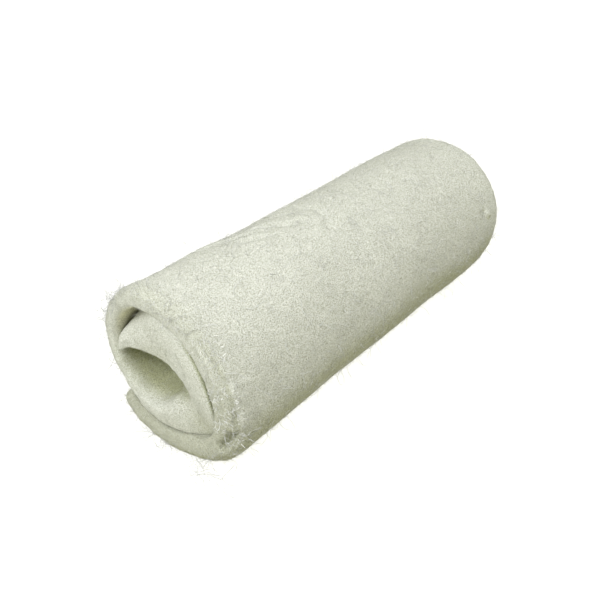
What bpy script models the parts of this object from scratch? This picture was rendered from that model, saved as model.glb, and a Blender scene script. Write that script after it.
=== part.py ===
# Exhaust insulation wool mat: one batt of glass wool rolled on itself, lying on its side.
# The roll's axis is X. The end that is seen first is at -X, and the floor is z = 0.
# Every layer lies on the turn outside it, from the loose outer flap to the thin inner end.
import math

import bmesh
import bpy

# Driving dimensions in metres and degrees. Angles are wound from the free outer end,
# except FLAP_ANGLE and CORNER_ANGLE, which are places on the roll as seen along its axis.
MAT_WIDTH = 0.300
THICKNESS = 0.0174
OUTER_RADIUS = 0.0668
FLAP_STEP = 0.0160
ROUNDING_POWER = 1.7
FLAP_ANGLE = -40.0
WOUND_ANGLE = 683.0
TURN_GAP = 0.0009
POCKET_DEPTH = 0.0065
POCKET_ANGLE = 281.0
POCKET_SPREAD_ANGLE = 23.0
INNER_TURN_SETBACK = 0.0040
WAVE = 0.0007
WAIST = 0.0014
TAPER = 0.012
CORNER_TUCK = 0.0050
CORNER_ANGLE = -111.0
CORNER_SPREAD_ANGLE = 34.0
CORNER_REACH = 0.060
FLOOR_PRESS = 0.0042
EDGE_ROUND = 0.0042
EDGE_SEGMENTS = 2
STEPS_ROUND = 90
STEPS_ALONG = 10

# How lofty the wool is: (angle wound from the free outer end, share of the thickness)
LOFT = (
    (0.0, 0.83),
    (25.0, 1.00),
    (67.0, 1.13),
    (131.0, 0.90),
    (224.0, 0.82),
    (288.0, 0.74),
    (357.0, 0.72),
    (400.0, 0.86),
    (465.0, 1.38),
    (536.0, 1.64),
    (596.0, 1.92),
    (642.0, 1.50),
    (669.0, 0.84),
    (683.0, 0.60),
)
LOFT_BLUR_ANGLE = 12.0


def clear_scene():
    """Starts from nothing, so that only the mat is left at the end."""
    for ob in list(bpy.data.objects):
        bpy.data.objects.remove(ob, do_unlink=True)
    for group in list(bpy.data.collections):
        bpy.data.collections.remove(group)


def smooth(t):
    """Eases from 0 to 1 with no corner at either end."""
    t = min(max(t, 0.0), 1.0)
    return t * t * (3.0 - 2.0 * t)


def straight_loft(turned):
    """Thickness between the stated places, on straight lines."""
    turned = min(max(turned, 0.0), LOFT[-1][0])
    for (a, low), (b, high) in zip(LOFT, LOFT[1:]):
        if turned <= b:
            return low + (high - low) * (turned - a) / (b - a)
    return LOFT[-1][1]


def loft_at(turned):
    """Thickness at an angle wound, as a share of THICKNESS, with the corners softened."""
    near = [straight_loft(turned + LOFT_BLUR_ANGLE * k / 4.0) for k in range(-4, 5)]
    return sum(near) / len(near)


def gap_at(turned):
    """Space under the layer at an angle, with the open pocket high on the far side."""
    away = (turned - POCKET_ANGLE) / POCKET_SPREAD_ANGLE
    return TURN_GAP + POCKET_DEPTH * math.exp(-away * away)


def outer_at(turned):
    """Radius of the mat's outer face at an angle wound from its free end."""
    if turned <= 360.0:
        return OUTER_RADIUS - FLAP_STEP * (turned / 360.0) ** ROUNDING_POWER
    return inner_at(turned - 360.0) - gap_at(turned - 360.0)


def inner_at(turned):
    """Radius of the mat's inner face at the same place."""
    return outer_at(turned) - THICKNESS * loft_at(turned)


def point_on_roll(turned, radius, along):
    """A place on the roll, where along runs from -1 at the near end to 1 at the far end."""
    angle = math.radians(FLAP_ANGLE - turned)
    inside = smooth((turned - 300.0) / 120.0)
    x = along * (0.5 * MAT_WIDTH - INNER_TURN_SETBACK * inside)
    radius += WAVE * math.sin(7.0 * along + 0.6) * math.cos(2.0 * angle + 1.5 * along)
    radius = radius * (1.0 - TAPER * along) - WAIST * (1.0 - along * along)
    # the near end's lower corner is drawn in
    aside = math.remainder(math.degrees(angle) - CORNER_ANGLE, 360.0) / CORNER_SPREAD_ANGLE
    deep = (x + 0.5 * MAT_WIDTH) / CORNER_REACH
    radius -= CORNER_TUCK * math.exp(-aside * aside - deep * deep)
    return (x, radius * math.cos(angle), radius * math.sin(angle))


def add_batt(collection):
    """The closed batt: its outer and inner face as grids, joined all round by its edges."""
    places = [2.0 * j / STEPS_ALONG - 1.0 for j in range(STEPS_ALONG + 1)]
    bm = bmesh.new()
    outer, inner = [], []
    for i in range(STEPS_ROUND + 1):
        turned = WOUND_ANGLE * i / STEPS_ROUND
        over, under = outer_at(turned), inner_at(turned)
        outer.append([bm.verts.new(point_on_roll(turned, over, along)) for along in places])
        inner.append([bm.verts.new(point_on_roll(turned, under, along)) for along in places])
    for i in range(STEPS_ROUND):
        for j in range(STEPS_ALONG):
            bm.faces.new((outer[i][j], outer[i][j + 1], outer[i + 1][j + 1], outer[i + 1][j]))
            bm.faces.new((inner[i][j], inner[i + 1][j], inner[i + 1][j + 1], inner[i][j + 1]))
    border = [(i, 0) for i in range(STEPS_ROUND)]
    border += [(STEPS_ROUND, j) for j in range(STEPS_ALONG)]
    border += [(i, STEPS_ALONG) for i in range(STEPS_ROUND, 0, -1)]
    border += [(0, j) for j in range(STEPS_ALONG, 0, -1)]
    round_off = bm.edges.layers.float.new("bevel_weight_edge")
    for (i, j), (m, n) in zip(border, border[1:] + border[:1]):
        bm.faces.new((outer[i][j], outer[m][n], inner[m][n], inner[i][j]))
        for face in (outer, inner):
            bm.edges.get((face[i][j], face[m][n]))[round_off] = 1.0
    for i in (0, STEPS_ROUND):
        for j in (0, STEPS_ALONG):
            bm.edges.get((outer[i][j], inner[i][j]))[round_off] = 1.0
    bmesh.ops.recalc_face_normals(bm, faces=bm.faces)
    mesh = bpy.data.meshes.new("wool_mat")
    bm.to_mesh(mesh)
    bm.free()
    ob = bpy.data.objects.new("wool_mat", mesh)
    collection.objects.link(ob)
    return ob


def soften_edges(ob):
    """Rounds the batt's cut edges, which fluff out and have no sharp corner."""
    edge = ob.modifiers.new("soft_edge", "BEVEL")
    edge.width = EDGE_ROUND
    edge.segments = EDGE_SEGMENTS
    edge.limit_method = "WEIGHT"
    graph = bpy.context.evaluated_depsgraph_get()
    made = bpy.data.meshes.new_from_object(ob.evaluated_get(graph))
    ob.modifiers.clear()
    ob.data = made


def settle(ob):
    """Centres the roll over the origin, its lowest strip pressed flat on the floor."""
    points = [vertex.co for vertex in ob.data.vertices]
    middle = 0.5 * (min(p.y for p in points) + max(p.y for p in points))
    lowest = min(p.z for p in points)
    for p in points:
        p.y -= middle
        p.z = max(p.z - lowest - FLOOR_PRESS, 0.0)


def paint(ob):
    """White glass wool with a faint green cast."""
    wool = bpy.data.materials.new("glass_wool")
    wool.use_nodes = True
    shader = wool.node_tree.nodes["Principled BSDF"]
    shader.inputs["Base Color"].default_value = (0.72, 0.74, 0.64, 1.0)
    shader.inputs["Roughness"].default_value = 0.95
    shader.inputs["Metallic"].default_value = 0.0
    ob.data.materials.clear()
    ob.data.materials.append(wool)


clear_scene()
parts = bpy.data.collections.new("exhaust_wool_mat")
bpy.context.scene.collection.children.link(parts)
mat = add_batt(parts)
soften_edges(mat)
settle(mat)
paint(mat)
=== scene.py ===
import math

import bpy
import numpy as np
from mathutils import Matrix, Vector, noise


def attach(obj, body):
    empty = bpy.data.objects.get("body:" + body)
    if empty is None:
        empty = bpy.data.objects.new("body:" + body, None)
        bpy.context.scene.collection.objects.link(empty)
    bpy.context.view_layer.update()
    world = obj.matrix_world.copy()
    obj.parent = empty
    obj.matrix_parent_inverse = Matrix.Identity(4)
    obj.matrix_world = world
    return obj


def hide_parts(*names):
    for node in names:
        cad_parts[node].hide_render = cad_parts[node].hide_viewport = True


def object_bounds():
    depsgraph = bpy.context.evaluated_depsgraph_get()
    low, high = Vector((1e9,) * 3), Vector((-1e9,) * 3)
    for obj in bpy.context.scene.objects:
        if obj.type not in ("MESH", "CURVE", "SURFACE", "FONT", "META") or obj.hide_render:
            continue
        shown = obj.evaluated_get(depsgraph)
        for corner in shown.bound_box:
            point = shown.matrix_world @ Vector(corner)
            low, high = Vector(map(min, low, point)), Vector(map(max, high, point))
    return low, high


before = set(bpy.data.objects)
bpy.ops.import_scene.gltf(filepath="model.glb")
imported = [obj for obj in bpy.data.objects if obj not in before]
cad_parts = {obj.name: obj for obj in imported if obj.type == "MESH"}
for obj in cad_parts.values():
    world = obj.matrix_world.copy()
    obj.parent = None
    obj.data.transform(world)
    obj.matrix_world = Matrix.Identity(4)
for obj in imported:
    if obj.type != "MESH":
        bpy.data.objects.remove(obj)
cad_low, cad_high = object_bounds()


# The rolled mat
# A soft batt of needled glass wool about 17 mm thick, rolled on itself nearly two turns.
# It lies on its side on its own weight. Nothing ties it: its outer end is a loose flap.

# angles are in degrees wound from the flap's free end, where nothing else is said; a spot is given
# by its middle and its reach, and a zone by where it starts, is full, fades and is gone
MAT_WIDTH = 0.300
THICKNESS = 0.0174
OUTER_RADIUS = 0.0668
FLAP_STEP = 0.0160
ROUNDING_POWER = 1.7
FLAP_ANGLE = -40.0
WOUND_ANGLE = 679.0
TURN_GAP = 0.0009
SETBACK_ANGLES = (300.0, 420.0)
POCKET_CLOSED = 0.0006
POCKET_ANGLE = 277.0
POCKET_SPREAD_ANGLE = 18.0
INNER_TURN_SETBACK = 0.0040
WAVE = 0.0007
WAIST = 0.0014
TAPER = 0.012
CORNER_TUCK = 0.0050
CORNER_ANGLE = -111.0
CORNER_SPREAD_ANGLE = 34.0
CORNER_REACH = 0.060
FLOOR_PRESS = 0.0042
SOFT_PRESS = 0.0012
LOFT_ANGLES = (0, 25, 67, 131, 224, 288, 357, 400, 465, 536, 596, 642, 669, 689)
LOFT_SHARES = (0.83, 1.00, 1.13, 0.90, 0.82, 0.74, 0.72, 0.86, 1.38, 1.62, 1.88, 1.55, 0.92, 0.60)
LOFT_BLUR_ANGLE = 12.0

# how fine the mesh is, and how the batt's cut edges and its two free ends are rounded
STATION_STEP = 0.0021
FREE_END_STEP = 0.4 * STATION_STEP
FREE_END_ANGLE = 7.0
FACE_STEP = 0.0026
RIM_STEPS = 8
RIM_FULLNESS = 2.2
ROUND_OUTSIDE = ((0, 60, 110, 160, 330, 375, 435, 470, 500, 550, 590, 625, 650, 689),
                 (0.009, 0.014, 0.012, 0.009, 0.010, 0.005, 0.0025, 0.0025, 0.003, 0.004, 0.009,
                  0.009, 0.007, 0.003))
ROUND_INSIDE = ((0, 90, 120, 165, 215, 330, 365, 400, 450, 500, 560, 689),
                (0.004, 0.004, 0.002, 0.002, 0.005, 0.006, 0.014, 0.022, 0.015, 0.005, 0.003, 0.004))
FLAP_END_ROUND = 0.0060
FLAP_END_SHARE = 0.16
FLAP_CORNER = 0.0080
INNER_END_TAPER = 0.0220
INNER_END_SHARE = 0.08
INNER_END_FEATHER = 0.05


def smooth(t):
    """Eases from 0 to 1 with no corner at either end."""
    t = np.clip(t, 0.0, 1.0)
    return t * t * (3.0 - 2.0 * t)


def past(values, start, full):
    """0 up to the start, easing to 1 where it is full."""
    return smooth((values - start) / (full - start))


def zone(values, start, full, fading, gone):
    """Eases in from start to full, and out again from fading to gone."""
    return past(values, start, full) * (1.0 - past(values, fading, gone))


def near(values, middle, reach):
    """1 in the middle, and a third of that at its reach."""
    return np.exp(-((values - middle) / reach) ** 2)


def inset(across):
    """How far in a place is from the nearer cut edge."""
    return 0.5 * MAT_WIDTH - np.abs(across)


def loft_at(turned):
    """How lofty the wool is at an angle wound, as a share of THICKNESS."""
    spots = [turned + LOFT_BLUR_ANGLE * k / 4.0 for k in range(-4, 5)]
    return float(np.mean(np.interp(spots, LOFT_ANGLES, LOFT_SHARES)))


def outer_at(turned):
    """Radius of the batt's outer face; the second turn lies inside the first one's inner face."""
    if turned <= 360.0:
        return OUTER_RADIUS - FLAP_STEP * (turned / 360.0) ** ROUNDING_POWER
    over = turned - 360.0
    # away from the ends the pocket is closed: the slit is even a little tighter there
    closed = POCKET_CLOSED * np.exp(-abs((over - POCKET_ANGLE) / POCKET_SPREAD_ANGLE) ** 3.0)
    return outer_at(over) - THICKNESS * loft_at(over) - TURN_GAP + closed


def place(wound, radius, along):
    """Points of the roll before it settles, for arrays of the angle, radius and place along."""
    angle = np.radians(FLAP_ANGLE - wound)
    x = along * (0.5 * MAT_WIDTH - INNER_TURN_SETBACK * past(wound, *SETBACK_ANGLES))
    radius = radius + WAVE * np.sin(7.0 * along + 0.6) * np.cos(2.0 * angle + 1.5 * along)
    radius = radius * (1.0 - TAPER * along) - WAIST * (1.0 - along * along)
    # the near end's lower corner is drawn in
    aside = np.remainder(np.degrees(angle) - CORNER_ANGLE + 180.0, 360.0) - 180.0
    tuck = near(aside, 0.0, CORNER_SPREAD_ANGLE) * near(x, -0.5 * MAT_WIDTH, CORNER_REACH)
    radius = radius - CORNER_TUCK * tuck
    return np.stack((x, radius * np.cos(angle), radius * np.sin(angle)), axis=-1)


def stations():
    """Angles wound, spaced evenly along the outer face and closer at the free ends."""
    turned, found = 0.0, [0.0]
    while turned < WOUND_ANGLE:
        free_end = min(turned, WOUND_ANGLE - turned) < FREE_END_ANGLE
        step = FREE_END_STEP if free_end else STATION_STEP
        turned += math.degrees(step / outer_at(turned))
        found.append(min(turned, WOUND_ANGLE))
    return np.array(found)


def cross_sections(turned):
    """Loops round the batt, one for each angle wound: places across its width, shares of its depth."""
    half = 0.5 * MAT_WIDTH
    outside = np.interp(turned, *ROUND_OUTSIDE)[:, None]
    inside = np.interp(turned, *ROUND_INSIDE)[:, None]
    turns = (np.arange(RIM_STEPS) + 0.5) / RIM_STEPS * 0.5 * math.pi
    bulge = np.cos(turns) ** (2.0 / RIM_FULLNESS)
    rise = np.sin(turns) ** (2.0 / RIM_FULLNESS)
    count = int(round(MAT_WIDTH / FACE_STEP))
    flat = np.linspace(-1.0, 1.0, count)[None, :]
    rim_out = half - outside * (1.0 - bulge)
    rim_in = half - inside * (1.0 - bulge)
    x = np.concatenate((-rim_out, flat * (half - outside), rim_out[:, ::-1],
                        rim_in, -flat * (half - inside), -rim_in[:, ::-1]), axis=1)
    depth = np.concatenate((0.5 - 0.5 * rise, np.zeros(count), 0.5 - 0.5 * rise[::-1],
                            0.5 + 0.5 * rise, np.ones(count), 0.5 + 0.5 * rise[::-1]))
    return x, depth[None, :]


def grid_normals(points):
    """Normals of a grid whose second direction closes on itself."""
    round_step = np.roll(points, -1, axis=1) - np.roll(points, 1, axis=1)
    along_step = np.gradient(points, axis=0)
    normal = np.cross(round_step, along_step)
    length = np.linalg.norm(normal, axis=-1, keepdims=True)
    return normal / np.maximum(length, 1e-12)


def rough(points, lumps):
    """Soft noise at each point, added up from lumps given as (height, size, seed)."""
    total = np.zeros(points.shape[:-1])
    for height, size, seed in lumps:
        shift = Vector((seed * 7.31, seed * 3.17, seed * 5.71))
        values = [noise.noise(Vector(p) + shift) for p in points.reshape(-1, 3) / size]
        total += height * np.array(values).reshape(total.shape)
    return total


def new_mesh(name, points, faces):
    """A smooth mesh object from an array of points and an array of faces with equal corners."""
    mesh = bpy.data.meshes.new(name)
    count, corners = faces.shape
    mesh.vertices.add(len(points))
    mesh.vertices.foreach_set("co", np.ascontiguousarray(points, np.float32).ravel())
    mesh.loops.add(count * corners)
    mesh.loops.foreach_set("vertex_index", np.ascontiguousarray(faces, np.int32).ravel())
    mesh.polygons.add(count)
    mesh.polygons.foreach_set("loop_start", np.arange(count, dtype=np.int32) * corners)
    mesh.update(calc_edges=True)
    mesh.polygons.foreach_set("use_smooth", np.full(count, True))
    made = bpy.data.objects.new(name, mesh)
    bpy.context.scene.collection.objects.link(made)
    return made


# every point of the batt: how far it is wound, across the width, and how deep in the wool (0 to 1)
turned = stations()
across, depth = cross_sections(turned)
over = np.array([outer_at(t) for t in turned])
thick = THICKNESS * np.array([loft_at(t) for t in turned])
arc = np.concatenate(([0.0], np.cumsum(np.radians(np.diff(turned)) * 0.5 * (over[1:] + over[:-1]))))
from_flap = np.clip(arc / FLAP_END_ROUND, 0.0, 1.0)
from_inner = np.clip((arc[-1] - arc) / INNER_END_TAPER, 0.0, 1.0)
flap_end = (1.0 - (1.0 - from_flap) ** RIM_FULLNESS) ** (1.0 / RIM_FULLNESS)
full = np.minimum(FLAP_END_SHARE + (1.0 - FLAP_END_SHARE) * flap_end,
                  INNER_END_SHARE + (1.0 - INNER_END_SHARE) * np.sin(0.5 * math.pi * from_inner))
feather = 0.5 * smooth((arc[-1] - arc) / INNER_END_FEATHER)[:, None]
share = feather + (depth - feather) * full[:, None]
radius = over[:, None] - share * thick[:, None]
wound = np.broadcast_to(turned[:, None], radius.shape)
# the flap's two corners are rounded off
corner = FLAP_CORNER * (1.0 - np.sqrt(1.0 - (1.0 - np.clip(arc / FLAP_CORNER, 0.0, 1.0)) ** 2))
across = across * (1.0 - corner[:, None] / (0.5 * MAT_WIDTH))

# at both ends of the roll the wool swells into the hollow
MOUTH_REACH = 0.016
MOUTH_SWELL = 0.0045
MOUTH_SWELL_BESIDE = 0.0030
BESIDE = (530.0, 45.0)
SWELLING_FIRST_TURN = (90.0, 150.0, 210.0, 260.0)
SWELLING_SECOND_TURN = (450.0, 510.0, 570.0, 620.0)
mouth = near(inset(across), 0.0, MOUTH_REACH)
swell = depth * zone(wound, *SWELLING_FIRST_TURN) + (1.0 - depth) * zone(wound, *SWELLING_SECOND_TURN)
swell = swell + depth * past(wound, *SWELLING_SECOND_TURN[:2])
radius = radius - MOUTH_SWELL * mouth * swell
radius = radius - MOUTH_SWELL_BESIDE * mouth * depth * near(wound, *BESIDE)

# there the slit between the turns opens to a groove and a pocket, and the inner end leans out:
# (how much wider, angle wound, reach in degrees), and what opens or closes from one angle to another
GROOVE_REACH = 0.030
GROOVE_SPOTS = ((0.0012, 525.0, 45.0), (0.0011, 582.0, 30.0), (-1.8 * TURN_GAP, 452.0, 24.0))
GROOVE_STEPS = ((0.0002, 480.0, 500.0), (-1.3 * TURN_GAP, 616.0, 630.0))
POCKET_MOUTH = 0.0110
POCKET_REACH = 0.0110
POCKET_PLACE = (630.0, 21.0)
TIP_STARTS = (653.0, 671.0)
TIP_LEAN = 0.0026
TIP_FORWARD = 0.0025
groove = sum(wide * near(wound, middle, reach) for wide, middle, reach in GROOVE_SPOTS)
groove = groove + sum(wide * past(wound, start, end) for wide, start, end in GROOVE_STEPS)
slit = near(inset(across), 0.0, GROOVE_REACH) * groove
slit = slit + near(inset(across), 0.0, POCKET_REACH) * POCKET_MOUTH * near(wound, *POCKET_PLACE)
lean = past(wound, *TIP_STARTS)
radius = radius - slit * (1.0 - depth) * (1.0 - lean)
radius = radius + TIP_LEAN * mouth * lean
across = across * (1.0 + TIP_FORWARD * lean / (0.5 * MAT_WIDTH))

# low in the near end the inner turn bulges out of the mouth and up, beside that it stands as far
# out as the outer turn, and the far end bulges a little
END_STARTS = (0.07, 0.14)
LOBE = (405.0, 48.0)
LOBE_PUSH = 0.0070
LOBE_RISE = 0.0085
TURN_PUSH = 0.0050
TURN_PUSHED = (520.0, 50.0)
FAR_BULGE = 0.0030
FAR_BULGED = (165.0, 70.0)
lobe = near(wound, *LOBE) * past(-across, *END_STARTS)
across = across - LOBE_PUSH * lobe * (0.3 + 0.7 * depth)
push = TURN_PUSH * near(wound, *TURN_PUSHED) * (1.0 - 0.7 * depth)
across = across - push * past(-across, *END_STARTS)
across = across + FAR_BULGE * past(across, *END_STARTS) * near(wound, *FAR_BULGED)
radius = radius - LOBE_RISE * lobe * depth
grid = place(wound, radius, across / (0.5 * MAT_WIDTH))
normals = grid_normals(grid)
# the normals are turned outwards, as seen at one place of the outer face
ON_FACE = (40, 60)
outward = np.sum(normals[ON_FACE] * grid[ON_FACE] * (0.0, 1.0, 1.0))
flip = 1.0 if outward > 0 else -1.0
normals *= flip

# lumps of soft wool, small where a turn lies against another, and finer ones on the cut edges;
# both walls of the slit between the turns move the same way, so that it stays as wide as it is
LUMPS = ((0.0012, 0.055, 1), (0.0003, 0.020, 2))
RIM_LUMPS = ((0.0007, 0.011, 4), (0.0004, 0.0045, 5))
second_turn = wound > 372.0
near_end = across < 0.0
rim = 1.0 - past(inset(across), 0.004, 0.012)
hidden = (second_turn & (depth < 0.5)) | ((wound < 312.0) & (depth > 0.5))
free = np.where(hidden, 0.25 + 0.5 * rim, 1.0)
free = np.where(second_turn, free * (2.0 * past(depth, 0.0, 0.5) - 1.0), free)
grid = grid + normals * (free * (rough(grid, LUMPS) + rim * rough(grid, RIM_LUMPS)))[..., None]

# the creases, soft bumps and the tuft that handling has left on the outside:
# (angle wound, place across the width) along each crease, then how deep and how wide it is
CREASES = (
    (((256, -0.030), (244, -0.018), (231, -0.012), (217, -0.013), (207, -0.020)), 0.0011, 0.0022),
    (((246, -0.036), (236, -0.022), (226, -0.019)), 0.0010, 0.0022),
    (((252, -0.062), (241, -0.052), (227, -0.042), (222, -0.028)), 0.0018, 0.0023),
    (((254, -0.092), (248, -0.084), (238, -0.064), (232, -0.052)), 0.0016, 0.0024),
    (((234, -0.078), (227, -0.064), (223, -0.056)), 0.0013, 0.0022),
    (((223, 0.069), (210, 0.069), (199, 0.081), (199, 0.098)), 0.0009, 0.0026),
    (((262, -0.126), (262, -0.116)), 0.0022, 0.0140),
    (((257, -0.060), (257, -0.048)), 0.0020, 0.0130),
    (((165, -0.145), (163, -0.135)), 0.0012, 0.0018),
    (((151, 0.1290), (157, 0.1290)), 0.0022, 0.0020),
    (((229, 0.012), (231, 0.014)), -0.0006, 0.0110),
    (((214, 0.083), (215, 0.085)), -0.0006, 0.0110),
    (((212, -0.137), (213, -0.135)), -0.0005, 0.0100),
    (((188, -0.074), (190, -0.072)), -0.0007, 0.0120),
    (((153, 0.1335), (156, 0.1335)), -0.0026, 0.0022),
)


def off_line(spots, height, level):
    """How far each place of the unrolled batt lies from a line through the given spots."""
    line = np.array([(np.interp(w, turned, arc), x) for w, x in spots])
    nearest = np.full(level.shape, np.inf)
    for a, b in zip(line[:-1], line[1:]):
        step = b - a
        t = np.clip(((height - a[0]) * step[0] + (level - a[1]) * step[1]) / (step @ step), 0.0, 1.0)
        nearest = np.minimum(nearest, np.hypot(height - a[0] - t * step[0], level - a[1] - t * step[1]))
    return nearest


arcs = np.broadcast_to(arc[:, None], across.shape)
outer_side = 1.0 - past(depth, 0.15, 0.45)
relief = np.zeros(across.shape)
for spots, deep, wide in CREASES:
    relief -= deep * near(off_line(spots, arcs, across), 0.0, wide) * outer_side
# the rim of the near end is a soft lip, with a line round its outer side
LIP_LINE = 0.0015
LINE_DEPTH = 0.13
LIP_DEPTH = (0.42, 0.22)
LIP_STARTS = (118.0, 138.0)
LIP_WEAKENS = (165.0, 205.0)
LIP_ENDS = (230.0, 250.0)
lip = past(wound, *LIP_STARTS) * (1.0 - 0.8 * past(wound, *LIP_WEAKENS)) * near_end
lip = lip * (1.0 - past(wound, *LIP_ENDS))
relief -= LIP_LINE * lip * rim * near(depth, LINE_DEPTH, 0.07)
relief += 0.3 * LIP_LINE * lip * rim * near(depth, *LIP_DEPTH)
grid = grid + normals * relief[..., None]
# the inner turn sinks a little between its bulge and the groove on the right
SINK = 0.0030
SINK_PLACE = (460.0, 20.0)
grid[..., 0] += SINK * near(wound, *SINK_PLACE) * past(-across, 0.11, 0.14) * (1.0 - past(depth, 0.5, 1.0))
# a nick in that rim, low on the right: (angle wound, metres deep in the wool) at its two ends
NICK_ENDS = ((112, 0.0088), (130, 0.0050))
NICK_DEEP = 0.0050
NICK_WIDE = 0.0022
NICK_WOOL = 0.017
off_nick = off_line(NICK_ENDS, arcs, np.broadcast_to(depth, across.shape) * NICK_WOOL)
nick = near(off_nick, 0.0, NICK_WIDE) * rim * near_end
grid[..., 0] += NICK_DEEP * nick

# the roll settles over the solid, its lowest strip pressed nearly flat on the floor
middle_y = 0.5 * (cad_low.y + cad_high.y)
ring = grid[turned < 360.0]
grid[..., 1] += middle_y - 0.5 * (ring[..., 1].min() + ring[..., 1].max())
height = grid[..., 2] - ring[..., 2].min() - FLOOR_PRESS
grid[..., 2] = 0.5 * (height + np.sqrt(height * height + SOFT_PRESS * SOFT_PRESS))
normals = grid_normals(grid) * flip

# the closed mesh: a tube of sections, with a cap on the flap's end and on the inner end
rows, loop = grid.shape[:2]
ids = np.arange(rows * loop).reshape(rows, loop)
wrapped = np.roll(ids, -1, axis=1)
sides = np.stack((ids[:-1], wrapped[:-1], wrapped[1:], ids[1:]), axis=-1).reshape(-1, 4)
k = np.arange(loop // 2 - 1)
cap = np.stack((k, loop - 1 - k, loop - 2 - k, k + 1), axis=-1)
faces = np.concatenate((sides, cap, cap[:, ::-1] + (rows - 1) * loop))
if flip > 0:
    faces = faces[:, ::-1]
body = new_mesh("wool_roll", grid.reshape(-1, 3), faces)

# the strokes of the wool are laid out on the batt as it is unrolled
unrolled = np.stack((across, arcs, share * thick[:, None]), axis=-1)
lay = body.data.attributes.new("unrolled", "FLOAT_VECTOR", "POINT")
lay.data.foreach_set("vector", np.ascontiguousarray(unrolled, np.float32).ravel())

# painted shade and light: where little outside light gets in, the wool's colour is painted darker
# and greener, and the pocket's wall is painted lighter than the wool round it; each colour multiplies the
# wool's own there
HOLLOW_SHADE = (0.80, 0.81, 0.56)
SLIT_SHADE = (0.62, 0.64, 0.46)
POCKET_LIGHT = (1.30, 1.25, 1.03)
LIP_LINE_AND_NICK_SHADE = (0.66, 0.67, 0.52)
LOW_SIDE_SHADE = (0.72, 0.72, 0.57)
LOW_RIM_SHADE = (0.76, 0.76, 0.69)
HIGH_RIM_SHADE = (0.84, 0.84, 0.81)
BESIDE_LOBE_SHADE = (0.86, 0.86, 0.79)
deep_in = past(inset(across), -0.003, 0.013)
# painted shade: darker and greener colour deep in the hollow inside the roll
hollow = past(wound, 306.0, 332.0) * past(depth, 0.4, 0.8) * deep_in
# painted shade: darker and greener colour on both walls of the slit between the turns
slit_under = zone(wound, 478.0, 508.0, 600.0, 630.0) * (1.0 - past(depth, 0.0, 0.04))
slit_over = zone(wound, 118.0, 132.0, 235.0, 255.0) * past(depth, 0.97, 1.0)
# painted light: the pocket's wall, shaded under the outer turn, is made lighter in its colour
pocket = near(wound, 268.0, 26.0) * past(depth, 0.8, 1.0) * past(inset(across), -0.002, 0.006)
# painted shade: the lip line and the nick are darkened in their colour
lip_line_and_nick_shade = 0.6 * lip * rim * near(depth, LINE_DEPTH, 0.05) + nick
outer_skin = (1.0 - past(wound, 330.0, 350.0)) * (1.0 - past(depth, 0.3, 0.6))
# painted shade: the outer face is darker and yellower where it faces down
low_side = outer_skin * (1.0 - past(normals[..., 2], -0.35, 0.10))
# painted shade: the lower part of the near rim is darker
low_rim = rim * near_end * (1.0 - past(wound, 125.0, 190.0)) * past(depth, 0.05, 0.25)
# painted shade: the upper outside of the near rim is made a little darker
high_rim = rim * near_end * outer_skin * past(wound, 150.0, 190.0)
# painted shade: the sunk place beside the bulge of the inner turn is darker
beside_lobe = rim * near_end * near(wound, 462.0, 18.0) * (1.0 - past(depth, 0.4, 0.8))
# painted shade and light, stored on the wool as its "shade" colour attribute
painted_shades = np.ones(across.shape + (4,))
for amount, colour in ((hollow, HOLLOW_SHADE), (slit_under, SLIT_SHADE), (slit_over, SLIT_SHADE),
                       (pocket, POCKET_LIGHT), (lip_line_and_nick_shade, LIP_LINE_AND_NICK_SHADE), (low_side, LOW_SIDE_SHADE),
                       (low_rim, LOW_RIM_SHADE), (high_rim, HIGH_RIM_SHADE),
                       (beside_lobe, BESIDE_LOBE_SHADE)):
    painted_shades[..., :3] *= 1.0 - amount[..., None] * (1.0 - np.array(colour))
painted_shade_layer = body.data.attributes.new("shade", "FLOAT_COLOR", "POINT")
painted_shade_layer.data.foreach_set("color", np.ascontiguousarray(painted_shades, np.float32).ravel())
# the wool is smoother near the first end, and more teased towards the other one and low down
TEASED_LEAST = 0.62
TEASED_MORE = 0.45
teased = TEASED_LEAST + TEASED_MORE * past(across, -0.15, 0.15) + TEASED_MORE * low_side
grain = body.data.attributes.new("teased", "FLOAT", "POINT")
grain.data.foreach_set("value", np.ascontiguousarray(teased, np.float32).ravel())

WOOL_DARK = (0.205, 0.21, 0.145)
WOOL_LIGHT = (0.57, 0.573, 0.465)
PATCH_SCALE = 25.0
SPECK_SCALE = 2600.0
SPECK_STRENGTH = 0.95
STROKE_WAYS = (12.0, 57.0, 104.0, 151.0)
STROKE_SCALES = (1000.0, 3600.0)
STROKE_STRENGTH = 0.95
TONE_MIDDLE = 0.55
STROKE_BUMP = 0.0004


def node(tree, kind, **settings):
    made = tree.nodes.new(kind)
    for name, value in settings.items():
        setattr(made, name, value)
    return made


def noise_at(tree, coords, scale, detail, distortion=0.0):
    """Soft noise from about 0 to 1, with about as many lumps to a metre as the scale."""
    made = node(tree, "ShaderNodeTexNoise")
    made.inputs["Scale"].default_value = scale
    made.inputs["Detail"].default_value = detail
    made.inputs["Distortion"].default_value = distortion
    tree.links.new(coords, made.inputs["Vector"])
    return made.outputs["Fac"]


def spread(tree, value, low, high, new_low, new_high):
    """The value's range from low to high, spread over a new range."""
    made = node(tree, "ShaderNodeMapRange")
    tree.links.new(value, made.inputs["Value"])
    for name, number in (("From Min", low), ("From Max", high), ("To Min", new_low), ("To Max", new_high)):
        made.inputs[name].default_value = number
    return made.outputs["Result"]


def math_of(tree, what, a, b):
    made = node(tree, "ShaderNodeMath", operation=what)
    for k, value in enumerate((a, b)):
        if isinstance(value, float):
            made.inputs[k].default_value = value
        else:
            tree.links.new(value, made.inputs[k])
    return made.outputs[0]


def colours_between(tree, amount, dark, light):
    """The colour from dark to light by an amount from 0 to 1."""
    mix = node(tree, "ShaderNodeMix", data_type="RGBA")
    tree.links.new(amount, mix.inputs["Factor"])
    mix.inputs[6].default_value = (*dark, 1.0)
    mix.inputs[7].default_value = (*light, 1.0)
    return mix.outputs[2]


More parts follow.
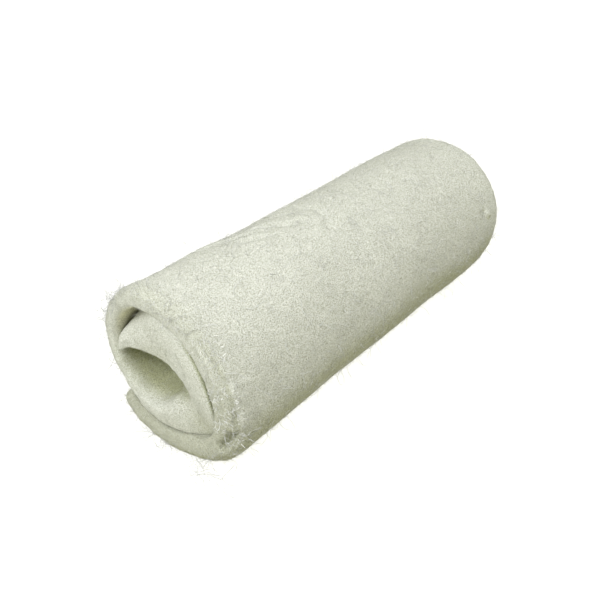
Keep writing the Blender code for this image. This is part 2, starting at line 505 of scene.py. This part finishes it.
def strokes(tree, coords, degrees):
    """Short strokes that all lie about one way on the unrolled batt, from 0 to 1."""
    long_scale, short_scale = STROKE_SCALES
    turn = node(tree, "ShaderNodeVectorRotate", rotation_type="Z_AXIS")
    turn.inputs["Angle"].default_value = math.radians(degrees)
    tree.links.new(coords, turn.inputs["Vector"])
    stretch = node(tree, "ShaderNodeMapping")
    stretch.inputs["Scale"].default_value = (long_scale, short_scale, short_scale)
    stretch.inputs["Location"].default_value = (0.37 * degrees, 0.11 * degrees, 0.0)
    tree.links.new(turn.outputs["Vector"], stretch.inputs["Vector"])
    return noise_at(tree, stretch.outputs["Vector"], 1.0, 1.0, 0.6)


def glass_wool():
    """Matte white glass wool with a faint green cast, finely stranded."""
    made = bpy.data.materials.new("glass_wool")
    made.use_nodes = True
    tree = made.node_tree
    shader = tree.nodes["Principled BSDF"]
    coords = node(tree, "ShaderNodeTexCoord").outputs["Object"]
    flat = node(tree, "ShaderNodeAttribute", attribute_name="unrolled").outputs["Vector"]
    patches = noise_at(tree, coords, PATCH_SCALE, 1.0)
    specks = noise_at(tree, coords, SPECK_SCALE, 0.0)
    lines = strokes(tree, flat, STROKE_WAYS[0])
    for degrees in STROKE_WAYS[1:]:
        lines = math_of(tree, "MAXIMUM", lines, strokes(tree, flat, degrees))
    lines = spread(tree, lines, 0.50, 0.68, 0.0, 1.0)
    tone = math_of(tree, "ADD", spread(tree, patches, 0.3, 0.7, 0.14, 0.22),
                   spread(tree, specks, 0.35, 0.65, -SPECK_STRENGTH, SPECK_STRENGTH))
    tone = math_of(tree, "ADD", tone, math_of(tree, "MULTIPLY", lines, STROKE_STRENGTH))
    # how far the tone is from its middle depends on how teased the wool is
    teased = node(tree, "ShaderNodeAttribute", attribute_name="teased").outputs["Fac"]
    tone = math_of(tree, "MULTIPLY", math_of(tree, "SUBTRACT", tone, TONE_MIDDLE), teased)
    tone = math_of(tree, "ADD", tone, TONE_MIDDLE)
    own = colours_between(tree, tone, WOOL_DARK, WOOL_LIGHT)
    # the painted shade and light of the "shade" attribute multiply the wool's colour
    shade = node(tree, "ShaderNodeAttribute", attribute_name="shade").outputs["Color"]
    painted_shade_mix = node(tree, "ShaderNodeMix", data_type="RGBA", blend_type="MULTIPLY")
    painted_shade_mix.inputs["Factor"].default_value = 1.0
    tree.links.new(own, painted_shade_mix.inputs[6])
    tree.links.new(shade, painted_shade_mix.inputs[7])
    tree.links.new(painted_shade_mix.outputs[2], shader.inputs["Base Color"])
    shader.inputs["Roughness"].default_value = 0.95
    shader.inputs["Specular IOR Level"].default_value = 0.15
    bump = node(tree, "ShaderNodeBump")
    bump.inputs["Strength"].default_value = 0.35
    bump.inputs["Distance"].default_value = STROKE_BUMP
    tree.links.new(lines, bump.inputs["Height"])
    tree.links.new(bump.outputs["Normal"], shader.inputs["Normal"])
    return made


body.data.materials.append(glass_wool())
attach(body, "root")
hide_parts("wool_mat")


# The loose fibres of its faces
# The batt has no skin: single glass fibres lie on it in every direction, each held at
# one end and a few millimetres to a centimetre long, and lift a little off it.

# how many there are of each kind, how long and thick they are, how far their loose ends lift off
# the wool, how much they bend, and how far over or in the wool their held ends are
FACE_FIBRES = 4200
FACE_LENGTH = (0.003, 0.009)
FACE_THICK = (0.00008, 0.00014)
FACE_LIFT = 0.0004
FACE_CURL = 0.50
FACE_ROOT = (-0.0001, 0.0002)
BRIGHT_FIBRES = 900
BRIGHT_LENGTH = (0.002, 0.006)
BRIGHT_THICK = (0.00013, 0.00022)
BRIGHT_LIFT = 0.0004
BRIGHT_CURL = 0.35
BRIGHT_ROOT = (0.0, 0.0002)
BRIGHT_HIGHER_UP = 0.4
HALO_FIBRES = 16400
HALO_LENGTH = (0.004, 0.010)
HALO_THICK = (0.00006, 0.00010)
HALO_LEAST_LIFT = 0.0004
HALO_LIFT = 0.0016
HALO_CURL = 0.70
HALO_ROOT = (-0.0002, 0.0002)
FIBRE_STEPS = 3
ABOVE_FLOOR = 0.0002
UNEVEN_SCALE = 160.0
rng = np.random.default_rng(1599)


def look_up(field, u, v):
    """A grid's value at places between its points; the second direction closes on itself."""
    u = np.clip(u, 0.0, rows - 1.001)
    i = np.floor(u).astype(int)
    j = np.floor(v).astype(int)
    s, t = (u - i)[:, None], (v - j)[:, None]
    j, m = j % loop, (j + 1) % loop
    return ((1 - s) * ((1 - t) * field[i, j] + t * field[i, m])
            + s * ((1 - t) * field[i + 1, j] + t * field[i + 1, m]))


def scatter(weight, count):
    """Places on the grid, as many for each area as its weight says."""
    across_step = np.roll(grid, -1, axis=1)[:-1] - grid[:-1]
    along_step = grid[1:] - grid[:-1]
    area = np.linalg.norm(np.cross(across_step, along_step), axis=-1) * weight[:-1]
    chance = np.cumsum(area.ravel())
    picked = np.searchsorted(chance, rng.random(count) * chance[-1])
    picked = np.minimum(picked, area.size - 1)
    return picked // loop + rng.random(count), picked % loop + rng.random(count)


def creeping_paths(u, v, length, curl, lift, start_lift):
    """Fibres that creep over the surface from (u, v), as an array of points for each."""
    count = len(u)
    heading = rng.random(count) * 2.0 * math.pi
    bend = rng.normal(0.0, 1.0, count) * curl
    points, step = [], length / FIBRE_STEPS
    for s in range(FIBRE_STEPS + 1):
        t = s / FIBRE_STEPS
        normal = look_up(normals, u, v)
        rise = start_lift * (1.0 - t) + lift * t * t
        points.append(look_up(grid, u, v) + normal * rise[:, None])
        to_next = look_up(grid, np.minimum(u + 0.5, rows - 1.001), v) - look_up(grid, u - 0.5, v)
        sideways = look_up(grid, u, v + 0.5) - look_up(grid, u, v - 0.5)
        size_u = np.maximum(np.linalg.norm(to_next, axis=1), 2e-4)
        size_v = np.maximum(np.linalg.norm(sideways, axis=1), 2e-4)
        u = np.clip(u + np.cos(heading) * step / size_u, 0.0, rows - 1.001)
        v = v + np.sin(heading) * step / size_v
        heading = heading + bend + rng.normal(0.0, 0.25, count)
    return np.stack(points, axis=1)


def tubes(name, paths, thickness):
    """Closed three-sided tubes that taper to a point at both ends, joined into one mesh."""
    count, steps = paths.shape[:2]
    paths = paths.copy()
    paths[..., 2] = np.maximum(paths[..., 2], ABOVE_FLOOR)
    tangent = np.gradient(paths, axis=1)
    tangent /= np.maximum(np.linalg.norm(tangent, axis=-1, keepdims=True), 1e-9)
    helper = np.where(np.abs(tangent[..., 2:3]) > 0.9, (1.0, 0.0, 0.0), (0.0, 0.0, 1.0))
    side = np.cross(tangent, helper)
    side /= np.maximum(np.linalg.norm(side, axis=-1, keepdims=True), 1e-9)
    up = np.cross(side, tangent)
    rings = []
    for s in range(1, steps - 1):
        width = 0.5 * thickness * (0.75 if s in (1, steps - 2) else 1.0)
        for corner in range(3):
            a = corner * 2.0 * math.pi / 3.0
            off = math.cos(a) * side[:, s] + math.sin(a) * up[:, s]
            rings.append(paths[:, s] + off * width[:, None])
    points = np.stack([paths[:, 0]] + rings + [paths[:, -1]], axis=1)
    tip = 3 * (steps - 2) + 1
    pattern = [(0, 2, 1), (0, 3, 2), (0, 1, 3)]
    for s in range(steps - 3):
        for corner in range(3):
            a, b = 1 + 3 * s + corner, 1 + 3 * s + (corner + 1) % 3
            pattern += [(a, b, b + 3), (a, b + 3, a + 3)]
    last = tip - 3
    pattern += [(last, last + 1, tip), (last + 1, last + 2, tip), (last + 2, last, tip)]
    base = np.arange(count)[:, None, None] * points.shape[1]
    triangles = (np.array(pattern)[None] + base).reshape(-1, 3)
    return new_mesh(name, points.reshape(-1, 3), triangles)


def glass_fibre(name, dark, light):
    """Single glass fibres, a little shinier than the wool and uneven in tone."""
    made = bpy.data.materials.new(name)
    made.use_nodes = True
    tree = made.node_tree
    shader = tree.nodes["Principled BSDF"]
    coords = node(tree, "ShaderNodeTexCoord").outputs["Object"]
    uneven = spread(tree, noise_at(tree, coords, UNEVEN_SCALE, 1.0), 0.35, 0.65, 0.0, 1.0)
    tree.links.new(colours_between(tree, uneven, dark, light), shader.inputs["Base Color"])
    shader.inputs["Roughness"].default_value = 0.55
    shader.inputs["Specular IOR Level"].default_value = 0.4
    return made


def keep_fibres(piece, material):
    """Gives a mesh of fibres its material and lets it move with the mat."""
    piece.data.materials.append(material)
    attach(piece, "root")


fibre_white = glass_fibre("glass_fibre", (0.40, 0.405, 0.315), (0.58, 0.585, 0.48))
curl_white = glass_fibre("curl_fibre", (0.74, 0.74, 0.67), (0.86, 0.86, 0.79))
stray_grey = glass_fibre("stray_fibre", (0.34, 0.34, 0.30), (0.50, 0.50, 0.45))

on_outside = (wound < 352.0) & (depth < 0.5)
outside_weight = np.where(on_outside, 1.0, 0.0)
u, v = scatter(outside_weight, FACE_FIBRES)
lift = np.abs(rng.normal(0.0, FACE_LIFT, FACE_FIBRES))
length = rng.uniform(*FACE_LENGTH, FACE_FIBRES)
paths = creeping_paths(u, v, length, FACE_CURL, lift, rng.uniform(*FACE_ROOT, FACE_FIBRES))
keep_fibres(tubes("face_fibres", paths, rng.uniform(*FACE_THICK, FACE_FIBRES)), fibre_white)

# a few thicker bundles of them shine white, most on the lower side
lower_side = (wound > 60.0) & (wound < 200.0)
u, v = scatter(outside_weight * np.where(lower_side, 1.0, BRIGHT_HIGHER_UP), BRIGHT_FIBRES)
length = rng.uniform(*BRIGHT_LENGTH, BRIGHT_FIBRES)
lift = rng.uniform(0.0, BRIGHT_LIFT, BRIGHT_FIBRES)
paths = creeping_paths(u, v, length, BRIGHT_CURL, lift, rng.uniform(*BRIGHT_ROOT, BRIGHT_FIBRES))
keep_fibres(tubes("bright_fibres", paths, rng.uniform(*BRIGHT_THICK, BRIGHT_FIBRES)), curl_white)

# finer ones stand off the faces and blur the outline
u, v = scatter(outside_weight, HALO_FIBRES)
length = rng.uniform(*HALO_LENGTH, HALO_FIBRES)
lift = HALO_LEAST_LIFT + np.abs(rng.normal(0.0, HALO_LIFT, HALO_FIBRES))
paths = creeping_paths(u, v, length, HALO_CURL, lift, rng.uniform(*HALO_ROOT, HALO_FIBRES))
keep_fibres(tubes("halo_fibres", paths, rng.uniform(*HALO_THICK, HALO_FIBRES)), stray_grey)


# The fluffed cut edges
# The ends of the roll are the batt's cut edges, where the glass fibres stand out and curl more.
# They are torn loose there, and some have come off and lie on the floor before the roll.
EDGE_FIBRES = 10000
EDGE_LENGTH = (0.003, 0.010)
EDGE_THICK = (0.00007, 0.00014)
EDGE_LIFT = 0.0013
EDGE_CURL = 0.70
EDGE_ROOT = (-0.0002, 0.0003)
HOLLOW_SHARE = 0.35
FLAP_SHARE = 0.8
FAR_SHARE = 0.6
HIGH_SHARE = 0.4
rim_zone = 1.0 - past(inset(across), 0.007, 0.013)
hollow_face = (wound > 318.0) & (depth > 0.5)
flap_edge = wound < 16.0
covered_face = (wound > 350.0) & (depth < 0.30)
high_face = (wound > 150.0) & (wound < 350.0) & (depth < 0.45)
edge_weight = np.maximum(rim_zone, np.where(hollow_face, HOLLOW_SHARE, 0.0))
edge_weight = np.maximum(edge_weight, np.where(flap_edge, FLAP_SHARE, 0.0))
edge_weight = np.where(across > 0.10, FAR_SHARE * edge_weight, edge_weight)
edge_weight = np.where(covered_face, 0.0, edge_weight)
edge_weight = np.where(high_face, HIGH_SHARE * edge_weight, edge_weight)
u, v = scatter(edge_weight, EDGE_FIBRES)
length = rng.uniform(*EDGE_LENGTH, EDGE_FIBRES)
lift = np.abs(rng.normal(0.0, EDGE_LIFT, EDGE_FIBRES))
paths = creeping_paths(u, v, length, EDGE_CURL, lift, rng.uniform(*EDGE_ROOT, EDGE_FIBRES))
keep_fibres(tubes("edge_fibres", paths, rng.uniform(*EDGE_THICK, EDGE_FIBRES)), fibre_white)

STRAY_STEPS = 14
LIES_ON_FLOOR = 0.0003


def wandering_paths(starts, headings, lengths, wander, sink):
    """Long fibres from the given starts, wandering as they go and sinking by their weight."""
    count = len(starts)
    here = np.array(starts, float)
    heading = np.array(headings, float)
    swerve = rng.normal(0.0, wander, (count, 3))
    points = [here.copy()]
    for s in range(STRAY_STEPS):
        heading = heading + swerve + rng.normal(0.0, 0.5 * wander, (count, 3)) - (0.0, 0.0, sink)
        swerve = 0.8 * swerve + rng.normal(0.0, 0.4 * wander, (count, 3))
        heading = heading / np.linalg.norm(heading, axis=1, keepdims=True)
        here = here + heading * (lengths / STRAY_STEPS)[:, None]
        here[:, 2] = np.maximum(here[:, 2], LIES_ON_FLOOR)
        points.append(here.copy())
    return np.stack(points, axis=1)


def any_of(spots, count):
    """Rows and columns of the grid, picked from where the spots are true."""
    places = np.argwhere(spots)
    picked = places[rng.integers(0, len(places), count)]
    return picked[:, 0], picked[:, 1]


# long ones stand off the whole outside, most near its rims
FRINGE = 1100
FRINGE_LENGTH = (0.006, 0.016)
half_on_flap = np.where(wound > 110.0, 1.0, 0.5)
u, v = scatter(outside_weight * half_on_flap * (1.0 + 2.0 * rim), FRINGE)
starts, out = look_up(grid, u, v), look_up(normals, u, v)
headings = rng.normal(0.0, 1.0, (FRINGE, 3))
headings -= out * np.sum(headings * out, axis=1, keepdims=True)
headings = headings / np.linalg.norm(headings, axis=1, keepdims=True)
headings = headings + out * rng.uniform(0.15, 0.55, (FRINGE, 1))
lengths = rng.uniform(*FRINGE_LENGTH, FRINGE)
stray = [wandering_paths(starts, headings, lengths, wander=0.20, sink=0.0)]

# others hang off the near rim
RIM_STRAYS = 170
STRAY_LENGTH = (0.005, 0.013)
near_rim = (np.abs(across + 0.5 * MAT_WIDTH) < 0.007) & (wound < 350.0) & (depth < 0.5)
at = any_of(near_rim, RIM_STRAYS)
headings = normals[at] * 0.5 + rng.normal(0.0, 0.6, (RIM_STRAYS, 3))
lengths = rng.uniform(*STRAY_LENGTH, RIM_STRAYS)
stray.append(wandering_paths(grid[at], headings, lengths, wander=0.35, sink=0.02))

# some lie loose on the floor before it
FLOOR_STRAYS = 60
FLOOR_LENGTH = (0.012, 0.034)
low_y = rng.uniform(-0.042, 0.030, FLOOR_STRAYS)
starts = np.stack((rng.uniform(-0.151, -0.145, FLOOR_STRAYS), low_y,
                   rng.uniform(0.0005, 0.005, FLOOR_STRAYS)), axis=1)
headings = np.stack((rng.normal(-0.2, 0.2, FLOOR_STRAYS), rng.choice((-1.0, 1.0), FLOOR_STRAYS),
                     rng.normal(0.0, 0.1, FLOOR_STRAYS)), axis=1)
lengths = rng.uniform(*FLOOR_LENGTH, FLOOR_STRAYS)
stray.append(wandering_paths(starts, headings, lengths, wander=0.24, sink=0.08))

# and a tuft of them stands off high on the left of the near rim
TUFT_STRAYS = 60
TUFT_ANGLE = 285.0
TUFT_WAY = (-0.7, 0.8, 0.1)
left_rim = (np.abs(across + 0.5 * MAT_WIDTH) < 0.012) & (np.abs(wound - TUFT_ANGLE) < 24.0)
at = any_of(left_rim & (depth < 0.4), TUFT_STRAYS)
headings = np.stack([rng.normal(lean_to, 0.4, TUFT_STRAYS) for lean_to in TUFT_WAY], axis=1)
lengths = rng.uniform(*STRAY_LENGTH, TUFT_STRAYS)
stray.append(wandering_paths(grid[at], headings, lengths, wander=0.30, sink=0.02))

# none of them reaches further than this from the solid's box, and the fringe is the thinnest
STRAY_REACH = 0.008
STRAY_THICK = (0.00011, 0.00022)
RIM_THICKER = 1.2
stray = np.clip(np.concatenate(stray), np.array(cad_low) - (STRAY_REACH, STRAY_REACH, 0.0),
                np.array(cad_high) + STRAY_REACH)
stray_width = rng.uniform(*STRAY_THICK, len(stray))
stray_width[FRINGE:] *= RIM_THICKER
keep_fibres(tubes("stray_fibres", stray, stray_width), stray_grey)

# short, thick, curled ones shine white low on the right of the near rim, and a few higher up
LOW_CURLS = 70
HIGH_CURLS = 20
CURLS = LOW_CURLS + HIGH_CURLS
CURL_LENGTH = (0.002, 0.006)
CURL_THICK = (0.00015, 0.00025)
CURL_LIFT = 0.0006
low_spots = (across < -0.143) & (wound > 124.0) & (wound < 164.0) & (depth < 0.85)
high_spots = (across < -0.137) & (wound > 170.0) & (wound < 188.0) & (depth < 0.5)
low_at, high_at = any_of(low_spots, LOW_CURLS), any_of(high_spots, HIGH_CURLS)
at = tuple(np.concatenate(pair) for pair in zip(low_at, high_at))
headings = normals[at] * 0.2 + rng.normal(0.0, 0.8, (CURLS, 3))
starts = grid[at] + normals[at] * CURL_LIFT
lengths = rng.uniform(*CURL_LENGTH, CURLS)
curls = wandering_paths(starts, headings, lengths, wander=0.60, sink=0.0)
keep_fibres(tubes("rim_curls", curls, rng.uniform(*CURL_THICK, CURLS)), curl_white)


# The floor and the light
# A plain white floor in a bright, soft studio, lit mostly from above. The floor glows by
# itself, so that it stays white round the roll and lights it from below.
FLOOR_SIZE = 60.0
bpy.ops.mesh.primitive_plane_add(size=FLOOR_SIZE, location=(0.0, 0.0, 0.0))
floor = bpy.context.object
floor.name = "floor"
white = bpy.data.materials.new("floor_white")
white.use_nodes = True
white_shader = white.node_tree.nodes["Principled BSDF"]
white_shader.inputs["Base Color"].default_value = (0.12, 0.12, 0.12, 1.0)
white_shader.inputs["Roughness"].default_value = 1.0
white_shader.inputs["Specular IOR Level"].default_value = 0.0
white_shader.inputs["Emission Color"].default_value = (1.0, 1.0, 0.93, 1.0)
white_shader.inputs["Emission Strength"].default_value = 1.03
floor.data.materials.append(white)

world = bpy.data.worlds.new("studio")
bpy.context.scene.world = world
world.use_nodes = True
sky = world.node_tree.nodes["Background"]
sky.inputs["Color"].default_value = (1.0, 0.98, 0.62, 1.0)
sky.inputs["Strength"].default_value = 0.31

LAMP_COLOUR = (0.84, 0.855, 1.0)
LAMP_POWER = 31.0
LAMP_AIM = Vector((0.0, 0.0, 0.05))


def soft_lamp(name, spot, size):
    """A round soft lamp that shines on the roll."""
    lamp = bpy.data.lights.new(name, "AREA")
    lamp.shape = "DISK"
    lamp.size = size
    lamp.energy = LAMP_POWER
    lamp.color = LAMP_COLOUR
    made = bpy.data.objects.new(name, lamp)
    made.location = spot
    made.rotation_euler = (LAMP_AIM - Vector(spot)).to_track_quat("-Z", "Y").to_euler()
    bpy.context.scene.collection.objects.link(made)


soft_lamp("top_light", (-0.10, -0.66, 1.52), 1.2)
soft_lamp("front_light", (-1.15, 0.10, 1.10), 0.8)

# the camera that was fitted to the photograph, with its focal length and middle in pixels
AIM = Vector((0.0, 0.0034, 0.05))
AZIMUTH = math.radians(-50.39)
ELEVATION = math.radians(33.61)
DISTANCE = 0.5156
FOCAL_PIXELS = 701.1
MIDDLE_X = 323.6
MIDDLE_Y = 286.8
IMAGE = 600.0
SENSOR = 36.0
back = Vector((math.sin(AZIMUTH) * math.cos(ELEVATION), -math.cos(AZIMUTH) * math.cos(ELEVATION),
               math.sin(ELEVATION)))
right = Vector((math.cos(AZIMUTH), math.sin(AZIMUTH), 0.0))
upward = back.cross(right)
lens = bpy.data.cameras.new("camera")
lens.sensor_width = SENSOR
lens.lens = SENSOR * FOCAL_PIXELS / IMAGE
lens.shift_x = (0.5 * IMAGE - MIDDLE_X) / IMAGE
lens.shift_y = (MIDDLE_Y - 0.5 * IMAGE) / IMAGE
lens.clip_start = 0.01
camera = bpy.data.objects.new("camera", lens)
bpy.context.scene.collection.objects.link(camera)
camera.matrix_world = (Matrix.Translation(AIM + back * DISTANCE)
                       @ Matrix((right, upward, back)).transposed().to_4x4())
bpy.context.scene.camera = camera
bpy.context.scene.view_settings.view_transform = "Standard"
